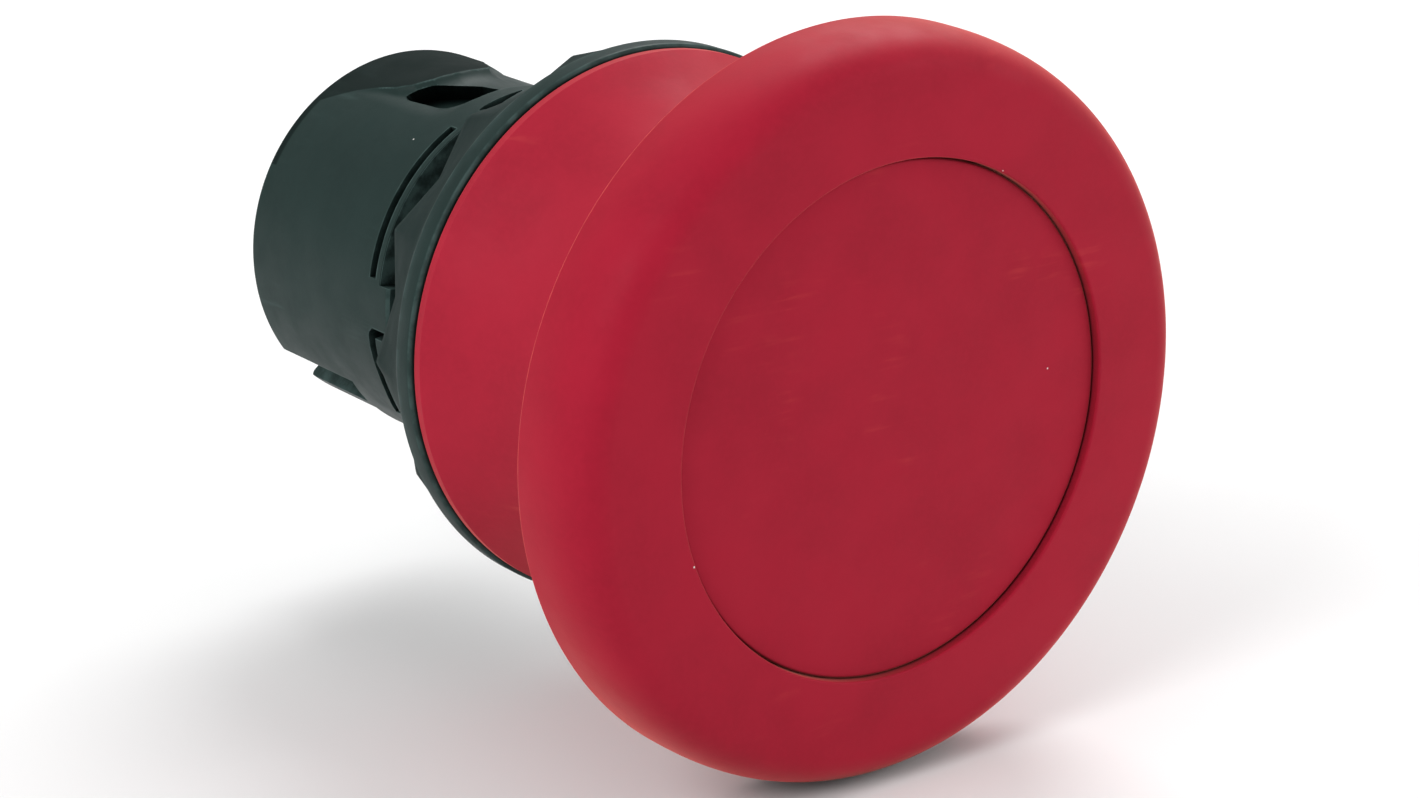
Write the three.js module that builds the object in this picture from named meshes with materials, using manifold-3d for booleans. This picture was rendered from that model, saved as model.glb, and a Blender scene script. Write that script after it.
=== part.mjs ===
// Mushroom-head emergency stop operator for a round panel hole.
// The button's axis is Y: the head faces -Y, the barrel runs to +Y through the panel, +Z is up.
// The origin is on the axis, in the plane where the bezel sits on the panel.
// Profiles are [radius, depth] pairs, with depth counted from the head's front face.
import * as THREE from 'three';
import { mergeVertices } from 'three/addons/utils/BufferGeometryUtils.js';
import Module from 'manifold-3d';

const wasm = await Module();
wasm.setup();

// Driving dimensions, in millimetres and degrees.
const HEAD_PROUD = 27.3; // head face to panel
const OVERALL = 46.3; // head face to barrel end
const GAP = 0.3; // between pieces that rest on each other
const TRAVEL = 5; // head's push

const HEAD_RADIUS = 20;
const FACE_FLAT_RADIUS = 17; // where the shoulder starts
const SHOULDER_FULLNESS = 2.6; // 2 is an ellipse, more is squarer
const RIM_DEPTH = 4.65;
const NECK_RADIUS = 11;
const NECK_BORE = 9.4;
const NECK_END = 17;
const DISC_RADIUS = 13.65;
const DISC_SUNK = 0.45;
const DISC_THICK = 1;
const DISC_RING = [11.3, 12.3]; // snap ring behind the disc
const DISC_RING_LENGTH = 1.5;
const UNDERSIDE_DEPTH = 8.6;
const WEB_DEPTH = 9.6;
const BOSS_RADIUS = 6.2;

const STEM_RADIUS = 4.6;
const SPIGOT_RADIUS = 4;
const SPIGOT_TOP = 9.3;
const SEAL_GROOVE = { radius: 3.1, front: 10.4, rear: 11.6 };
const SHOULDER_DEPTH = 12.3;
const STEM_END = 44.1;
const TAIL_RADIUS = 2.4;
const TAIL_TOP = 40.3;
const CLIP_GROOVE = { radius: 1.8, front: 42.55, rear: 43.55 };
const PIN_HOLE_FLOOR = 0.4;
const SCREW_RADIUS = 1.45;
const SCREW_HEAD = { radius: 2.9, front: 2.2, rear: 4 };
const FOOT = { tube: 5.9, front: 35.8, flange: 7.5, flangeFront: 41.4, ring: [5, 6.9], rear: 44.9 };

const COLLAR_FRONT = 14;
const COLLAR_FRONT_RADIUS = 12.5;
const COLLAR_REAR = 21.3;
const COLLAR_REAR_RADIUS = 15.43;
const COLLAR_BORE = 11.6;
const COLLAR_SPIGOT = { inner: 12.3, outer: 13.5, front: 19.4, rear: 22.3 }; // plugs into the bezel

const BEZEL_RADIUS = 15.6;
const BEZEL_BORE = 10.2;
const BEZEL_EDGE = 22.9; // where the crown starts
const TEETH = 12;
const FIRST_TOOTH_ANGLE = 3.8;
const RIDGE_RADIUS = 14.25;
const VALLEY_RADIUS = 13.1;
const GASKET_GROOVE = { inner: 11.4, outer: 12.6, front: 25.9 };

const TUBE_RADIUS = 9.3; // barrel's neck, in front
const TUBE_FRONT = 22.8;
const BARREL_RADIUS = 10.85;
const BARREL_FRONT = 31.3;
const FRONT_BORE = 8.4;
const REAR_BORE = 8.9;
const BORE_STEP = 39;
const RING_GROOVE = [41.4, 42.8];
const RING_GROOVE_RADIUS = 9.3;
const PANEL_RADIUS = 10.7; // shallow panel under the barrel's rear
const STEP_RADIUS = 9.35; // low front edge of each flank
const LATCH_RADIUS = 9.7; // floor of the latch slots
const KEY_SLOT = { front: 38.6, angles: [123.5, 138.5] }; // open to the rear, one on each side

const SLEEVE_RADIUS = FRONT_BORE - GAP;
const PIN_DEPTH = 30; // latch pins, at rest
const PIN_RADIUS = 1.1;
const PIN_TIP = 5.9;
const PIN_ROOT = 3;
const CAM_SLOPE = 0.2; // the pins spread by this much of the head's travel
const CAM_CLEARANCE = 0.3;

const RED = 0xa3243a;
const BLACK = 0x2c3c3c;
const GREY = 0x8a8d8f;
const STEEL = 0xb9bcc0;
const BRASS = 0xb08d4f;
const RUBBER = 0x1b1c1d;

const radians = THREE.MathUtils.degToRad;
const group = new THREE.Group();

// Adds one piece to the assembly.
function piece(name, geometry, color, roughness, metalness = 0) {
  const mesh = new THREE.Mesh(geometry, new THREE.MeshStandardMaterial({ color, roughness, metalness }));
  mesh.name = name;
  group.add(mesh);
}

const plastic = (name, geometry, color) => piece(name, geometry, color, 0.45);
const rubber = (name, geometry) => piece(name, geometry, RUBBER, 0.8);
const metal = (name, geometry, color = STEEL) => piece(name, geometry, color, 0.3, 1);

// Turns a profile about the button's axis. A profile off the axis is closed on itself.
function turned(points, segments = 48, startAngle = 0) {
  const profile = points.map(([radius, depth]) => new THREE.Vector2(radius, depth - HEAD_PROUD));
  if (THREE.ShapeUtils.area(profile) < 0) profile.reverse();
  if (profile[0].x > 0) profile.push(profile[0].clone());
  return new THREE.LatheGeometry(profile, segments, startAngle);
}

// Makes a solid of a closed geometry, for cutting and joining.
function solid(geometry) {
  const bare = geometry.clone();
  bare.deleteAttribute('normal');
  bare.deleteAttribute('uv');
  const merged = mergeVertices(bare);
  const index = merged.index.array;
  const triVerts = [];
  for (let i = 0; i < index.length; i += 3) {
    const [a, b, c] = index.slice(i, i + 3);
    if (a !== b && b !== c && c !== a) triVerts.push(a, b, c);
  }
  return new wasm.Manifold(new wasm.Mesh({
    numProp: 3,
    vertProperties: merged.attributes.position.array,
    triVerts: Uint32Array.from(triVerts),
  }));
}

function geometryOf(manifold) {
  const { vertProperties, triVerts } = manifold.getMesh();
  const geometry = new THREE.BufferGeometry();
  geometry.setAttribute('position', new THREE.BufferAttribute(vertProperties, 3));
  geometry.setIndex(new THREE.BufferAttribute(triVerts, 1));
  geometry.computeVertexNormals();
  return geometry;
}

// A block between two radii, two depths and two angles, counted from the top towards -X.
function sector(radii, depths, angles) {
  const [from, to] = angles.map((angle) => radians(angle + 90));
  const shape = new THREE.Shape();
  shape.absarc(0, 0, radii[1], from, to, false);
  shape.absarc(0, 0, radii[0], to, from, true);
  const steps = Math.max(2, Math.round((angles[1] - angles[0]) / 10));
  const depth = depths[1] - depths[0];
  const block = new THREE.ExtrudeGeometry(shape, { depth, bevelEnabled: false, curveSegments: steps });
  block.rotateX(Math.PI / 2);
  block.translate(0, depths[1] - HEAD_PROUD, 0);
  return solid(block);
}

// A coil of round wire along Y, from one height to another.
class Helix extends THREE.Curve {
  constructor(radius, start, end, turns) {
    super();
    Object.assign(this, { radius, start, end, turns });
  }

  getPoint(t, target = new THREE.Vector3()) {
    const angle = 2 * Math.PI * this.turns * t;
    const height = THREE.MathUtils.lerp(this.start, this.end, t);
    return target.set(this.radius * Math.cos(angle), height, this.radius * Math.sin(angle));
  }
}

function coil({ radius, wire, start, end, turns, stepsPerTurn }) {
  const path = new Helix(radius, start + wire, end - wire, turns);
  const section = new THREE.Shape();
  section.absarc(0, 0, wire, 0, 2 * Math.PI, false);
  const steps = turns * stepsPerTurn;
  return new THREE.ExtrudeGeometry(section, { steps, extrudePath: path, curveSegments: 3 });
}

// The head: a mushroom with a full shoulder, a sharp rim and a hollow neck behind.
function mushroomCap() {
  const shoulder = [];
  const steps = 8;
  const power = 2 / SHOULDER_FULLNESS;
  for (let i = 0; i <= steps; i += 1) {
    const angle = (Math.PI / 2) * (i / steps);
    const across = i === steps ? 1 : Math.sin(angle) ** power;
    const back = i === steps ? 1 : 1 - Math.cos(angle) ** power;
    shoulder.push([FACE_FLAT_RADIUS + (HEAD_RADIUS - FACE_FLAT_RADIUS) * across, RIM_DEPTH * back]);
  }
  const recess = DISC_RADIUS + GAP;
  const ledge = DISC_SUNK + DISC_THICK + GAP;
  const ringGroove = ledge + DISC_RING_LENGTH + 3.15;
  const counterbore = SCREW_HEAD.radius + 0.7;
  const screwSeat = SCREW_HEAD.rear + 1.2;
  const underside = [
    [19.85, RIM_DEPTH + 0.35],
    [19.2, RIM_DEPTH + 0.85],
    [17.2, 6.6],
    [15, 7.5],
    [13, 8.1],
    [11.6, UNDERSIDE_DEPTH],
    [NECK_RADIUS, UNDERSIDE_DEPTH + 0.7],
    [NECK_RADIUS, NECK_END],
    [NECK_BORE, NECK_END],
    [NECK_BORE, WEB_DEPTH],
  ];
  const boss = [
    [BOSS_RADIUS, WEB_DEPTH],
    [BOSS_RADIUS, SHOULDER_DEPTH - GAP],
    [SPIGOT_RADIUS + GAP, SHOULDER_DEPTH - GAP],
    [SPIGOT_RADIUS + GAP, SPIGOT_TOP - GAP],
    [SCREW_RADIUS + GAP, SPIGOT_TOP - GAP],
    [SCREW_RADIUS + GAP, screwSeat],
    [counterbore, screwSeat],
    [counterbore, 2.1],
    [5.5, 2.1],
    [5.5, ringGroove],
    [DISC_RING[1] + GAP, ringGroove],
    [DISC_RING[1] + GAP, ledge],
    [recess, ledge],
    [recess, 0.15],
    [recess + 0.15, 0],
  ];
  return turned([...shoulder, ...underside, ...boss]);
}

// The inlaid disc over the head screw, with a ring behind that snaps into the head.
function faceDisc() {
  const back = DISC_SUNK + DISC_THICK;
  return turned([
    [0, DISC_SUNK],
    [DISC_RADIUS - 0.2, DISC_SUNK],
    [DISC_RADIUS, DISC_SUNK + 0.2],
    [DISC_RADIUS, back],
    [DISC_RING[1], back],
    [DISC_RING[1], back + DISC_RING_LENGTH],
    [DISC_RING[0], back + DISC_RING_LENGTH],
    [DISC_RING[0], back],
    [0, back],
  ]);
}

function headScrew() {
  const blank = turned([
    [0, SCREW_HEAD.front],
    [SCREW_HEAD.radius - 0.7, SCREW_HEAD.front],
    [SCREW_HEAD.radius, SCREW_HEAD.front + 0.6],
    [SCREW_HEAD.radius, SCREW_HEAD.rear],
    [SCREW_RADIUS, SCREW_HEAD.rear],
    [SCREW_RADIUS, 15.4],
    [0.9, 16],
    [0, 16],
  ], 24);
  const slot = new THREE.BoxGeometry(0.8, 1.8, 8);
  slot.translate(0, SCREW_HEAD.front - HEAD_PROUD, 0);
  return geometryOf(solid(blank).subtract(solid(slot)));
}

function washer(inner, outer, front, rear, segments = 32) {
  return turned([[inner, front], [outer, front], [outer, rear], [inner, rear]], segments);
}

// A ring of round section.
function roundRing(radius, section, depth, segments = 28) {
  const points = [];
  const sides = 6;
  for (let i = 0; i < sides; i += 1) {
    const angle = (2 * Math.PI * i) / sides;
    points.push([radius + section * Math.cos(angle), depth + section * Math.sin(angle)]);
  }
  return turned(points, segments);
}

// The stem: threaded blind hole in front, two blind cross holes for the latch pins.
function plungerStem() {
  const blank = turned([
    [0, 17.4],
    [SCREW_RADIUS + GAP, 17],
    [SCREW_RADIUS + GAP, SPIGOT_TOP],
    [SPIGOT_RADIUS - 0.2, SPIGOT_TOP],
    [SPIGOT_RADIUS, SPIGOT_TOP + 0.2],
    [SPIGOT_RADIUS, SEAL_GROOVE.front],
    [SEAL_GROOVE.radius, SEAL_GROOVE.front],
    [SEAL_GROOVE.radius, SEAL_GROOVE.rear],
    [SPIGOT_RADIUS, SEAL_GROOVE.rear],
    [SPIGOT_RADIUS, SHOULDER_DEPTH],
    [STEM_RADIUS, SHOULDER_DEPTH],
    [STEM_RADIUS, TAIL_TOP],
    [TAIL_RADIUS, TAIL_TOP],
    [TAIL_RADIUS, CLIP_GROOVE.front],
    [CLIP_GROOVE.radius, CLIP_GROOVE.front],
    [CLIP_GROOVE.radius, CLIP_GROOVE.rear],
    [TAIL_RADIUS, CLIP_GROOVE.rear],
    [TAIL_RADIUS, STEM_END - 0.2],
    [TAIL_RADIUS - 0.3, STEM_END],
    [0, STEM_END],
  ], 28);
  const length = 6;
  let stem = solid(blank);
  for (const side of [-1, 1]) {
    const hole = new THREE.CylinderGeometry(PIN_RADIUS + 0.1, PIN_RADIUS + 0.1, length, 20);
    hole.rotateZ(Math.PI / 2);
    hole.translate(side * (PIN_HOLE_FLOOR + length / 2), PIN_DEPTH - HEAD_PROUD, 0);
    stem = stem.subtract(solid(hole));
  }
  return geometryOf(stem);
}

// A latch pin with a round nose, lying along X.
function latchPin(side) {
  const noseCentre = PIN_TIP - PIN_RADIUS;
  const profile = [new THREE.Vector2(0, PIN_ROOT), new THREE.Vector2(PIN_RADIUS, PIN_ROOT)];
  const steps = 5;
  for (let i = 0; i <= steps; i += 1) {
    const angle = (Math.PI / 2) * (i / steps);
    const radius = i === steps ? 0 : PIN_RADIUS * Math.cos(angle);
    profile.push(new THREE.Vector2(radius, noseCentre + PIN_RADIUS * Math.sin(angle)));
  }
  const pin = new THREE.LatheGeometry(profile, 16);
  pin.rotateZ((-side * Math.PI) / 2);
  pin.translate(0, PIN_DEPTH - HEAD_PROUD, 0);
  return pin;
}

function latchSpring(side) {
  const spring = coil({ radius: 0.75, wire: 0.18, start: 0.6, end: 2.8, turns: 4, stepsPerTurn: 8 });
  spring.rotateZ((-side * Math.PI) / 2);
  spring.translate(0, PIN_DEPTH - HEAD_PROUD, 0);
  return spring;
}

// The foot at the stem's end: a guided tube, a flange that stops the head, and a pressing ring.
function pusherFoot() {
  return turned([
    [STEM_RADIUS + GAP, FOOT.front],
    [FOOT.tube, FOOT.front],
    [FOOT.tube, FOOT.flangeFront],
    [FOOT.flange, FOOT.flangeFront],
    [FOOT.flange, FOOT.flangeFront + 1.4],
    [FOOT.ring[1], FOOT.flangeFront + 1.6],
    [FOOT.ring[1], FOOT.rear],
    [FOOT.ring[0], FOOT.rear],
    [FOOT.ring[0], 42.4],
    [TAIL_RADIUS + GAP, 42.4],
    [TAIL_RADIUS + GAP, TAIL_TOP + GAP],
    [STEM_RADIUS + GAP, TAIL_TOP + GAP],
  ], 32);
}

// A flat snap ring with an open side.
function openRing(inner, outer, front, rear, opening, middle) {
  return geometryOf(sector([inner, outer], [front, rear], [middle + opening / 2, middle + 360 - opening / 2]));
}

// The fixed red skirt: a concave flare with a bead at its rear rim and a spigot into the bezel.
function skirtCollar() {
  const flare = [];
  const beadFront = COLLAR_REAR - 0.7;
  const steps = 5;
  for (let i = 0; i <= steps; i += 1) {
    const t = i / steps;
    const radius = COLLAR_FRONT_RADIUS + (COLLAR_REAR_RADIUS - 0.1 - COLLAR_FRONT_RADIUS) * t ** 1.5;
    flare.push([radius, THREE.MathUtils.lerp(COLLAR_FRONT, beadFront, t)]);
  }
  return turned([
    ...flare,
    [COLLAR_REAR_RADIUS, beadFront + 0.15],
    [COLLAR_REAR_RADIUS, COLLAR_REAR],
    [COLLAR_SPIGOT.outer, COLLAR_REAR],
    [COLLAR_SPIGOT.outer, COLLAR_SPIGOT.rear],
    [COLLAR_SPIGOT.inner, COLLAR_SPIGOT.rear],
    [COLLAR_SPIGOT.inner, COLLAR_SPIGOT.front],
    [COLLAR_BORE, 17],
    [COLLAR_BORE, COLLAR_FRONT],
  ]);
}

// The gasket: a square-section ring in the bezel's rear groove, flush with the panel.
function panelGasket() {
  const { inner, outer, front } = GASKET_GROOVE;
  return washer(inner + 0.2, outer - 0.2, front + GAP, HEAD_PROUD, 48);
}

// Radius of the crown's rear edge at an angle from a tooth's ridge: straight flanks.
function crownRadius(angle) {
  const half = Math.PI / TEETH;
  const turn = Math.abs(THREE.MathUtils.euclideanModulo(angle + half, 2 * half) - half);
  const chord = RIDGE_RADIUS * Math.sin(turn) + VALLEY_RADIUS * Math.sin(half - turn);
  return (RIDGE_RADIUS * VALLEY_RADIUS * Math.sin(half)) / chord;
}

// The bezel: a plain ring in front, narrowing to a twelve-tooth crown at the panel.
function bezelFlange() {
  const start = -radians(FIRST_TOOTH_ANGLE);
  const front = COLLAR_REAR + GAP;
  const socket = COLLAR_SPIGOT.rear + GAP;
  const geometry = turned([
    [BEZEL_RADIUS - 0.2, front],
    [BEZEL_RADIUS, front + 0.2],
    [BEZEL_RADIUS, BEZEL_EDGE],
    [RIDGE_RADIUS, HEAD_PROUD],
    [GASKET_GROOVE.outer, HEAD_PROUD],
    [GASKET_GROOVE.outer, GASKET_GROOVE.front],
    [GASKET_GROOVE.inner, GASKET_GROOVE.front],
    [GASKET_GROOVE.inner, HEAD_PROUD],
    [BEZEL_BORE, HEAD_PROUD],
    [BEZEL_BORE, 22.5],
    [11.5, 22.5],
    [11.5, front],
    [COLLAR_SPIGOT.inner - GAP, front],
    [COLLAR_SPIGOT.inner - GAP, socket],
    [COLLAR_SPIGOT.outer + GAP, socket],
    [COLLAR_SPIGOT.outer + GAP, front],
  ], TEETH * 4, start);
  const position = geometry.attributes.position;
  for (let i = 0; i < position.count; i += 1) {
    const [x, z] = [position.getX(i), position.getZ(i)];
    const radius = Math.hypot(x, z);
    if (Math.abs(radius - RIDGE_RADIUS) < 0.01) {
      const scale = crownRadius(Math.atan2(x, z) - start) / radius;
      position.setX(i, x * scale);
      position.setZ(i, z * scale);
    }
  }
  return geometry;
}

// The latch slots, front step and key slot of one flank, at angles from the top on the left side.
function flankCuts(side, outside) {
  const angles = (from, to) => (side > 0 ? [from, to] : [-to, -from]);
  return [
    sector([STEP_RADIUS, outside], [BARREL_FRONT - 1, 32.15], angles(28, 81.8)),
    sector([LATCH_RADIUS, outside], [32.7, 33.3], angles(28, 80.4)),
    sector([LATCH_RADIUS, outside], [BARREL_FRONT - 1, 33.4], angles(96, 99)),
    sector([LATCH_RADIUS, outside], [33.2, 33.9], angles(96, 114)),
    sector([LATCH_RADIUS, outside], [33.7, 34.5], angles(112, 130)),
    sector([FRONT_BORE - 1, outside], [KEY_SLOT.front, OVERALL + 1], angles(...KEY_SLOT.angles)),
  ];
}

// The pocket on top of the barrel: a shallow shelf, a deeper lens-shaped hole and a slit in front.
function pocketCuts(outside) {
  const shelf = 10.3;
  const hole = 9.3;
  return [
    sector([shelf, outside], [34.8, 38.6], [-14, 6]),
    sector([hole, outside], [34.8, 36], [1, 19]),
    sector([hole, outside], [35.9, 37.2], [5, 21.5]),
    sector([hole, outside], [37.1, 38.6], [13, 22.5]),
    sector([10.1, outside], [32.8, 33.4], [1, 17.6]),
  ];
}

// The barrel: a neck through the panel, then the body with its slots, pocket and rear panel.
function barrelBody() {
  const [grooveFront, grooveRear] = RING_GROOVE;
  const blank = turned([
    [FRONT_BORE, TUBE_FRONT],
    [TUBE_RADIUS, TUBE_FRONT],
    [TUBE_RADIUS, BARREL_FRONT],
    [BARREL_RADIUS - 0.15, BARREL_FRONT],
    [BARREL_RADIUS, BARREL_FRONT + 0.15],
    [BARREL_RADIUS, OVERALL - 0.2],
    [BARREL_RADIUS - 0.2, OVERALL],
    [REAR_BORE, OVERALL],
    [REAR_BORE, grooveRear],
    [RING_GROOVE_RADIUS, grooveRear],
    [RING_GROOVE_RADIUS, grooveFront],
    [REAR_BORE, grooveFront],
    [REAR_BORE, BORE_STEP],
    [FRONT_BORE, BORE_STEP],
  ]);
  const outside = BARREL_RADIUS + 1;
  const slotEnd = KEY_SLOT.angles[1];
  const panel = sector([PANEL_RADIUS, outside], [KEY_SLOT.front, OVERALL + 1], [slotEnd, 360 - slotEnd]);
  let barrel = solid(blank);
  for (const cut of [panel, ...pocketCuts(outside), ...flankCuts(1, outside), ...flankCuts(-1, outside)]) {
    barrel = barrel.subtract(cut);
  }
  return geometryOf(barrel);
}

// The lip seal: a ring in the barrel's mouth with a thin lip round the stem.
function mouthSeal() {
  return turned([
    [STEM_RADIUS + 0.15, 24.4],
    [STEM_RADIUS + 0.55, 24.4],
    [5.8, 25.4],
    [6.6, 25.4],
    [6.6, 24.3],
    [SLEEVE_RADIUS, 24.3],
    [SLEEVE_RADIUS, 26.3],
    [5.6, 26.3],
  ], 32);
}

// The latch sleeve: a short guide bore for the stem, then a bore that widens to the rear.
function latchSleeve() {
  const camRadius = (depth) => PIN_TIP + CAM_CLEARANCE + CAM_SLOPE * (depth - PIN_DEPTH);
  const camFront = PIN_DEPTH - 1.6;
  const camRear = PIN_DEPTH + TRAVEL + 1.6;
  return turned([
    [STEM_RADIUS + GAP, 26.6],
    [SLEEVE_RADIUS, 26.6],
    [SLEEVE_RADIUS, 38.7],
    [camRadius(camRear), 38.7],
    [camRadius(camRear), camRear],
    [camRadius(camFront), camFront],
    [STEM_RADIUS + GAP, camFront - 0.4],
  ], 32);
}

// Pieces that move with the head
plastic('mushroom_cap', mushroomCap(), RED);
plastic('face_disc', faceDisc(), RED);
metal('head_screw', headScrew());
metal('lock_washer', washer(SCREW_RADIUS + GAP, 3.2, 4.3, 4.9));
plastic('plunger_stem', plungerStem(), GREY);
rubber('stem_o_ring', roundRing(3.7, 0.42, 11));
plastic('pusher_foot', pusherFoot(), GREY);
metal('foot_clip', openRing(2.05, 4.2, 42.7, 43.4, 60, 90));
for (const [name, side] of [['left', -1], ['right', 1]]) {
  metal(`latch_pin_${name}`, latchPin(side));
  metal(`latch_spring_${name}`, latchSpring(side));
}

// Pieces fixed to the panel
const seatFront = TUBE_FRONT - 0.7;
const spring = { radius: 7.8, wire: 0.55, turns: 5, stepsPerTurn: 14 };
spring.start = WEB_DEPTH + GAP - HEAD_PROUD;
spring.end = seatFront - GAP - HEAD_PROUD;
metal('return_spring', coil(spring));
metal('spring_seat', washer(6.3, 9, seatFront, TUBE_FRONT - GAP));
plastic('skirt_collar', skirtCollar(), RED);
plastic('bezel_flange', bezelFlange(), BLACK);
rubber('panel_gasket', panelGasket());
plastic('barrel_body', barrelBody(), BLACK);
metal('seal_retainer', washer(6.2, SLEEVE_RADIUS, 23, 24), BRASS);
rubber('mouth_seal', mouthSeal());
plastic('latch_sleeve', latchSleeve(), GREY);
plastic('rear_guide', washer(6.2, REAR_BORE - GAP, BORE_STEP + GAP, 41.1), GREY);
metal('retaining_ring', openRing(7.9, 9.15, 41.6, 42.6, 50, 180));

export default group;
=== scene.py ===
import math

import bmesh
import bpy
import numpy as np
from mathutils import Matrix, Vector


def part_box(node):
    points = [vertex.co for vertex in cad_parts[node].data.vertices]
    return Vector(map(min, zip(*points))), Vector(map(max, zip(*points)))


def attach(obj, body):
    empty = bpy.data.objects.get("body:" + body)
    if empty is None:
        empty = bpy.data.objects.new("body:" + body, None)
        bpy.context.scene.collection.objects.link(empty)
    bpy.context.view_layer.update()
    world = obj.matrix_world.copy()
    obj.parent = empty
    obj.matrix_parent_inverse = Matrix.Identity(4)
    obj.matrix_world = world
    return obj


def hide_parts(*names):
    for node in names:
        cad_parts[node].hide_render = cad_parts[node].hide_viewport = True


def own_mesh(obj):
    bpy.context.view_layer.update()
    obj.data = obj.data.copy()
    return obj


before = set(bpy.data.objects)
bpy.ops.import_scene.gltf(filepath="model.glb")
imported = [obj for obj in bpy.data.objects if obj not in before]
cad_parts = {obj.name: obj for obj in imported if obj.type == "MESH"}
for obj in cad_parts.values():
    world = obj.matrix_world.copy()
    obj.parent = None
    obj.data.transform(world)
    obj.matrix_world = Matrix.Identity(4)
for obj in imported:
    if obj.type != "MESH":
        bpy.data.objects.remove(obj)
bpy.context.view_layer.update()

MM = 0.001


def low(node):
    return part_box(node)[0] / MM


def high(node):
    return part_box(node)[1] / MM


# Driving sizes, read from the frame, in millimetres.
FACE_Y = low("mushroom_cap").y
HEAD_RADIUS = high("mushroom_cap").x
NECK_END = high("mushroom_cap").y - FACE_Y
DISC_RADIUS = high("face_disc").x
COLLAR_FRONT = low("skirt_collar").y - FACE_Y
BEZEL_FRONT = low("bezel_flange").y - FACE_Y
PANEL = high("bezel_flange").y - FACE_Y
BARREL_RADIUS = high("barrel_body").x
BARREL_END = high("barrel_body").y - FACE_Y
TUBE_FRONT = low("barrel_body").y - FACE_Y
STEM_RADIUS = high("plunger_stem").x

# Shape sizes that the frame's boxes don't give, in millimetres and degrees.
RIM_DEPTH = 4.65
FACE_FLAT_RADIUS = 17.5
SHOULDER_FULLNESS = 2.7  # 2 is an ellipse, more is squarer
NECK_RADIUS = 11.0
NECK_BORE = 9.4
WEB_DEPTH = 9.6
BOSS_RADIUS = 6.2
DISC_SUNK = 0.45
DISC_BACK = 1.4
DISC_RING = (11.3, 12.3)
BEZEL_RADIUS = 15.6
BEZEL_EDGE = 22.9  # where the crown starts
TEETH = 12
FIRST_TOOTH = 3.8
RIDGE_RADIUS = 14.25
VALLEY_RADIUS = 13.1
BARREL_FRONT = 31.3
BARREL_BORE = 8.9
FRONT_BORE = 8.4
BORE_STEP = 39
RING_GROOVE = (41.4, 42.8)
RING_GROOVE_RADIUS = 9.3
TUBE_RADIUS = 9.3
FLANK_STEP = (28, 81.8)  # angles of the low front edge of each flank
FLANK_STEP_REAR = 32.15
KEY_SLOT_FRONT = 38.6
KEY_SLOT = (123.5, 138.5)
CREASE_MIDDLE = 3  # angle of the crease's foremost point
PIN_DEPTH = 30.0
PIN_RADIUS = 1.1
SHARP = math.radians(32)


# ---------------------------------------------------------------- mesh making

def ring_point(radius, depth, angle):
    """A point in metres, at an angle in radians from the top towards -X."""
    return (-radius * math.sin(angle) * MM, (FACE_Y + depth) * MM, radius * math.cos(angle) * MM)


def rounded(corners, steps=5):
    """Turns (radius, depth, fillet) corners into a closed outline with an arc at each fillet."""
    outline = []
    for i, (radius, depth, *fillet) in enumerate(corners):
        here = np.array((radius, depth), float)
        if not fillet or fillet[0] == 0:
            outline.append(tuple(here))
            continue
        back = np.array(corners[i - 1][:2]) - here
        ahead = np.array(corners[(i + 1) % len(corners)][:2]) - here
        back_length, ahead_length = np.linalg.norm(back), np.linalg.norm(ahead)
        back, ahead = back / back_length, ahead / ahead_length
        half = math.acos(np.clip(back @ ahead, -1, 1)) / 2
        reach = min(fillet[0] / math.tan(half), 0.49 * back_length, 0.49 * ahead_length)
        middle = (back + ahead) / np.linalg.norm(back + ahead)
        centre = here + middle * reach / math.cos(half)
        start, end = here + back * reach - centre, here + ahead * reach - centre
        sweep = math.acos(np.clip(start @ end / (start @ start), -1, 1))
        hold = 1.6 * reach
        if hold < 0.45 * back_length:
            outline.append(tuple(here + back * hold))
        for k in range(steps + 1):
            t = k / steps
            arm = (math.sin((1 - t) * sweep) * start + math.sin(t * sweep) * end) / math.sin(sweep)
            outline.append(tuple(centre + arm))
        if hold < 0.45 * ahead_length:
            outline.append(tuple(here + ahead * hold))
    return outline


def shade(mesh, sharp=SHARP):
    """Shades a mesh smooth between its sharp edges, and stores how tightly each vertex bends outward."""
    built = bmesh.new()
    built.from_mesh(mesh)
    bmesh.ops.remove_doubles(built, verts=built.verts, dist=1e-7)
    bmesh.ops.recalc_face_normals(built, faces=built.faces)
    built.normal_update()
    for face in built.faces:
        face.smooth = True
    for edge in built.edges:
        edge.smooth = not (edge.is_manifold and edge.calc_face_angle(0) > sharp)
    rubbed_and_highlit = built.verts.layers.float.get("rubbed_and_highlit") or built.verts.layers.float.new("rubbed_and_highlit")
    for vert in built.verts:
        bends = [0.0]
        for edge in vert.link_edges:
            away = vert.co - edge.other_vert(vert).co
            bends.append(2 * MM * away.dot(vert.normal) / max(away.length_squared, 1e-14))
        vert[rubbed_and_highlit] = max(bends)
    built.to_mesh(mesh)
    built.free()


def as_object(name, verts, faces, sharp=SHARP):
    """A new object with a shaded mesh, linked to the scene."""
    mesh = bpy.data.meshes.new(name)
    mesh.from_pydata(verts, [], faces)
    shade(mesh, sharp)
    thing = bpy.data.objects.new(name, mesh)
    bpy.context.scene.collection.objects.link(thing)
    return thing


def bands(count, size, closed=False):
    """Faces that join count rings of size points. closed also joins the last ring to the first."""
    faces = []
    for row in range(count if closed else count - 1):
        here, there = row * size, (row + 1) % count * size
        for k in range(size):
            faces.append((here + k, here + (k + 1) % size, there + (k + 1) % size, there + k))
    return faces


def end_caps(count, size):
    """The faces that fill the first and the last of count rings of size points."""
    last = (count - 1) * size
    return [tuple(range(size)), tuple(range(last, last + size))]


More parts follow.
